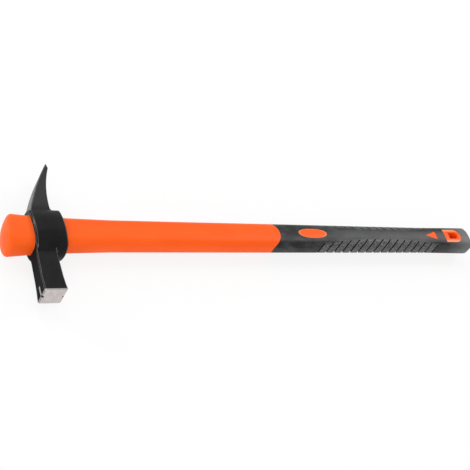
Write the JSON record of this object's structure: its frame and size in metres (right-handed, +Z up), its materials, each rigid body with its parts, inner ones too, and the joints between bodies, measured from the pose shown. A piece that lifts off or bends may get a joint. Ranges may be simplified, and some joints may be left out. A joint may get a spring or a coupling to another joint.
{
  "type": "claw hammer",
  "caption": "Carpenter hammer with a square poll, a split curved claw and an orange handle in a black rubber grip.",
  "frame": {"origin": "middle of the bottom of the whole hammer's box, the hammer lying on its side", "axes": "+X along the handle towards the butt, +Y towards the claw, +Z up through the thickness of the head"},
  "size_m": [0.556, 0.1424, 0.035],
  "materials": {
    "head_paint": "satin",
    "jacket_plastic": "satin",
    "grip_rubber": "matt",
    "rod_fibreglass": "matt",
    "bond_adhesive": "matt"
  },
  "bodies": {
    "root": {"hammer_head": "head_paint", "handle_jacket": "jacket_plastic", "grip_sleeve": "grip_rubber", "core_rod": "rod_fibreglass", "eye_bond": "bond_adhesive"}
  },
  "joints": []
}
